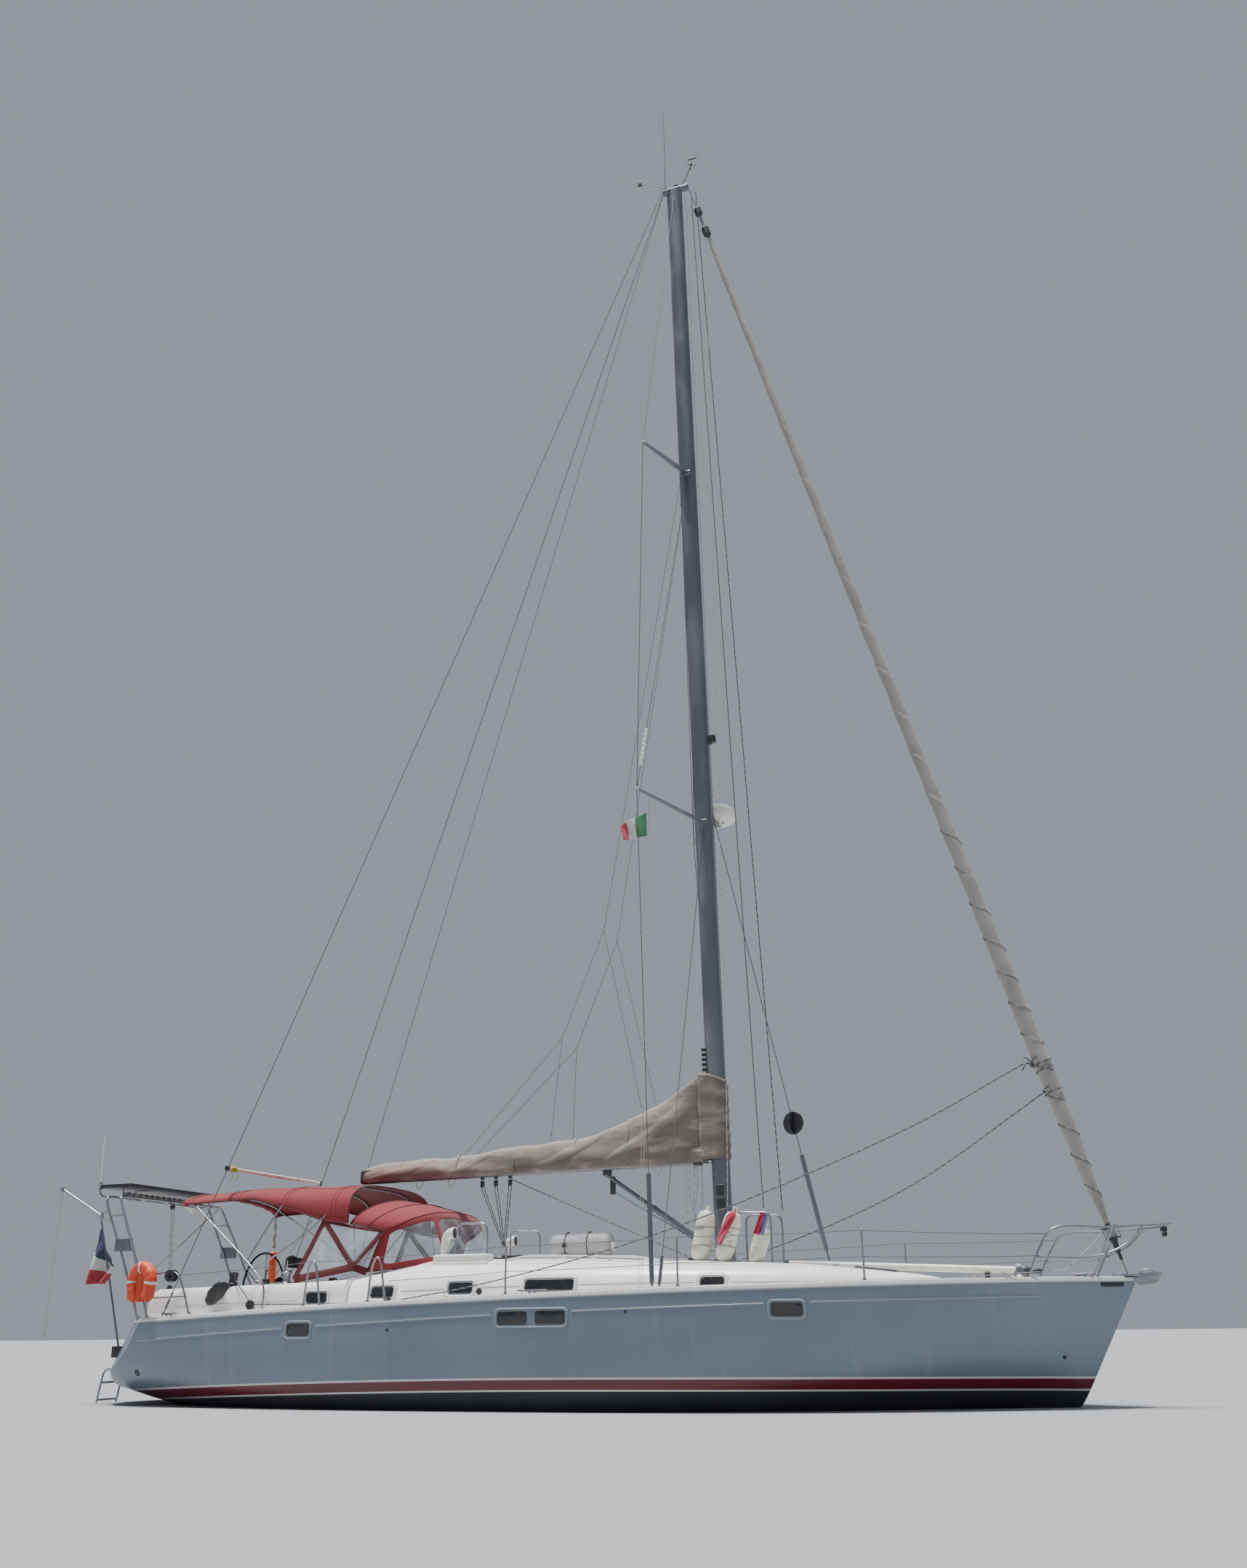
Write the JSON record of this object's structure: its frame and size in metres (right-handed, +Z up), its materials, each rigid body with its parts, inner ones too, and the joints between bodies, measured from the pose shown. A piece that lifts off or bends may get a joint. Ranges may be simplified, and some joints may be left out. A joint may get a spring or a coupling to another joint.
{
  "type": "sailing yacht",
  "caption": "Cruising sloop afloat with furled headsail, covered mainsail on its boom, canvas over the cockpit, stern arch and fin keel.",
  "frame": {"origin": "on the centreline at the waterline, midway along the waterline", "axes": "+X towards the bow, +Y to port, +Z up"},
  "size_m": [15.313, 4.1972, 23.47],
  "materials": {
    "topside": "glossy pale grey gelcoat with red, white and dark bands at the waterline and a fine cove line",
    "gelcoat": "glossy white gelcoat with matt non-slip panels",
    "antifouling": "matt dark antifouling paint",
    "spar": "grey anodised aluminium, satin",
    "stainless": "polished stainless tube",
    "wire": "laid stainless wire",
    "canvas_red": "woven acrylic canvas in dark red, sun-faded on top",
    "canvas_taupe": "woven acrylic cloth in grey-brown",
    "black_plastic": "matt black moulded plastic",
    "bronze": "dull cast bronze",
    "orange_foam": "orange foam in a woven cover",
    "fender_vinyl": "white inflated vinyl, scuffed",
    "panel_glass": "dark blue cells under glass in a metal edge",
    "white_plastic": "white moulded plastic",
    "acrylic": "smoked acrylic in a metal frame",
    "rope": "braided rope",
    "teak": "weathered teak slats",
    "clear_vinyl": "clear flexible window",
    "flag_cloth": "light woven flag cloth"
  },
  "bodies": {
    "yacht": {"babystay": "wire", "backstays": "wire", "bimini": "canvas_red", "bimini_frame": "stainless", "binnacle": "gelcoat", "bow_roller": "stainless", "danbuoy": "orange_foam", "deck": "gelcoat", "ensign_staff": "stainless", "fender_1": "fender_vinyl", "fender_2": "fender_vinyl", "fender_3": "fender_vinyl", "furled_sail": "canvas_taupe", "furling_drum": "black_plastic", "horseshoe_buoy": "orange_foam", "hull": "topside", "keel": "antifouling", "lifelines_port": "stainless", "lifelines_starboard": "stainless", "liferaft": "white_plastic", "lower_spreader_port": "spar", "lower_spreader_starboard": "spar", "mast": "spar", "mast_rail_port": "stainless", "mast_rail_starboard": "stainless", "pulpit": "stainless", "pushpit_port": "stainless", "pushpit_starboard": "stainless", "radome": "white_plastic", "shaft_strut": "bronze", "shrouds_port": "wire", "shrouds_starboard": "wire", "solar_panel": "panel_glass", "sprayhood": "canvas_red", "stern_arch": "stainless", "traveller": "black_plastic", "upper_spreader_port": "spar", "upper_spreader_starboard": "spar", "vent_box_port": "gelcoat", "vent_box_starboard": "gelcoat", "whisker_pole": "white_plastic", "winch_port": "stainless", "winch_starboard": "stainless"},
    "propeller": {"propeller": "bronze"},
    "rudder": {"rudder": "antifouling"},
    "steering_wheel": {"steering_wheel": "black_plastic"},
    "boom": {"boom": "spar", "vang": "spar", "sail_cover": "canvas_taupe"},
    "swim_ladder": {"swim_ladder": "stainless"},
    "davit_arm": {"davit_arm": "stainless", "davit_fall": "rope", "fall_hook": "stainless"},
    "fore_hatch": {"fore_hatch": "acrylic"},
    "saloon_hatch": {"saloon_hatch": "acrylic"},
    "anchor_locker_lid": {"anchor_locker_lid": "gelcoat"},
    "companionway_slide": {"companionway_slide": "acrylic"},
    "washboards": {"washboards": "acrylic"},
    "locker_lid_starboard": {"locker_lid_starboard": "gelcoat"},
    "locker_lid_port": {"locker_lid_port": "gelcoat"}
  },
  "joints": [
    {"name": "propeller_spin", "type": "hinge", "parent": "yacht", "child": "propeller", "pos_m": [-2.85, 0, -0.37], "axis": [-0.967, 0, -0.2548], "continuous": true},
    {"name": "rudder_turn", "type": "hinge", "parent": "yacht", "child": "rudder", "pos_m": [-5.45, 0, 0], "axis": [0, 0, 1], "range_deg": [-35, 35]},
    {"name": "wheel_turn", "type": "hinge", "parent": "yacht", "child": "steering_wheel", "pos_m": [-5.1, 0, 1.47], "axis": [-1, 0, 0], "range_deg": [-285, 285]},
    {"name": "boom_swing", "type": "hinge", "parent": "yacht", "child": "boom", "pos_m": [1.69, 0, 1.9], "axis": [0, 0, 1], "range_deg": [-75, 75]},
    {"name": "ladder_fold", "type": "hinge", "parent": "yacht", "child": "swim_ladder", "pos_m": [-7.13, -0.335, 0.4446], "axis": [0, 1, 0], "range_deg": [0, 150]},
    {"name": "davit_swing", "type": "hinge", "parent": "yacht", "child": "davit_arm", "pos_m": [-7.095, -1.262, 2.515], "axis": [0, 0, 1], "range_deg": [-60, 90]},
    {"name": "fore_hatch_lift", "type": "hinge", "parent": "yacht", "child": "fore_hatch", "pos_m": [3.628, 0, 1.6199], "axis": [0, -1, 0], "range_deg": [0, 100]},
    {"name": "saloon_hatch_lift", "type": "hinge", "parent": "yacht", "child": "saloon_hatch", "pos_m": [0.888, 0, 1.7721], "axis": [0, -1, 0], "range_deg": [0, 100]},
    {"name": "anchor_locker_lift", "type": "hinge", "parent": "yacht", "child": "anchor_locker_lid", "pos_m": [5.888, 0, 1.4383], "axis": [0, -1, 0], "range_deg": [0, 100]},
    {"name": "locker_lift_starboard", "type": "hinge", "parent": "yacht", "child": "locker_lid_starboard", "pos_m": [-3.005, -0.972, 1.2864], "axis": [0.9992, 0, 0.0389], "range_deg": [0, 80]},
    {"name": "locker_lift_port", "type": "hinge", "parent": "yacht", "child": "locker_lid_port", "pos_m": [-3.005, 0.972, 1.2864], "axis": [-0.9992, 0, -0.0389], "range_deg": [0, 80]},
    {"name": "companionway_slide_open", "type": "slide", "parent": "yacht", "child": "companionway_slide", "axis": [1, 0, 0], "range_m": [0, 0.47]},
    {"name": "washboards_lift", "type": "slide", "parent": "yacht", "child": "washboards", "axis": [0, 0, 1], "range_m": [0, 0.43]}
  ],
  "couplings": [
    {"joint": "wheel_turn", "follows": "rudder_turn", "ratio": 8}
  ]
}
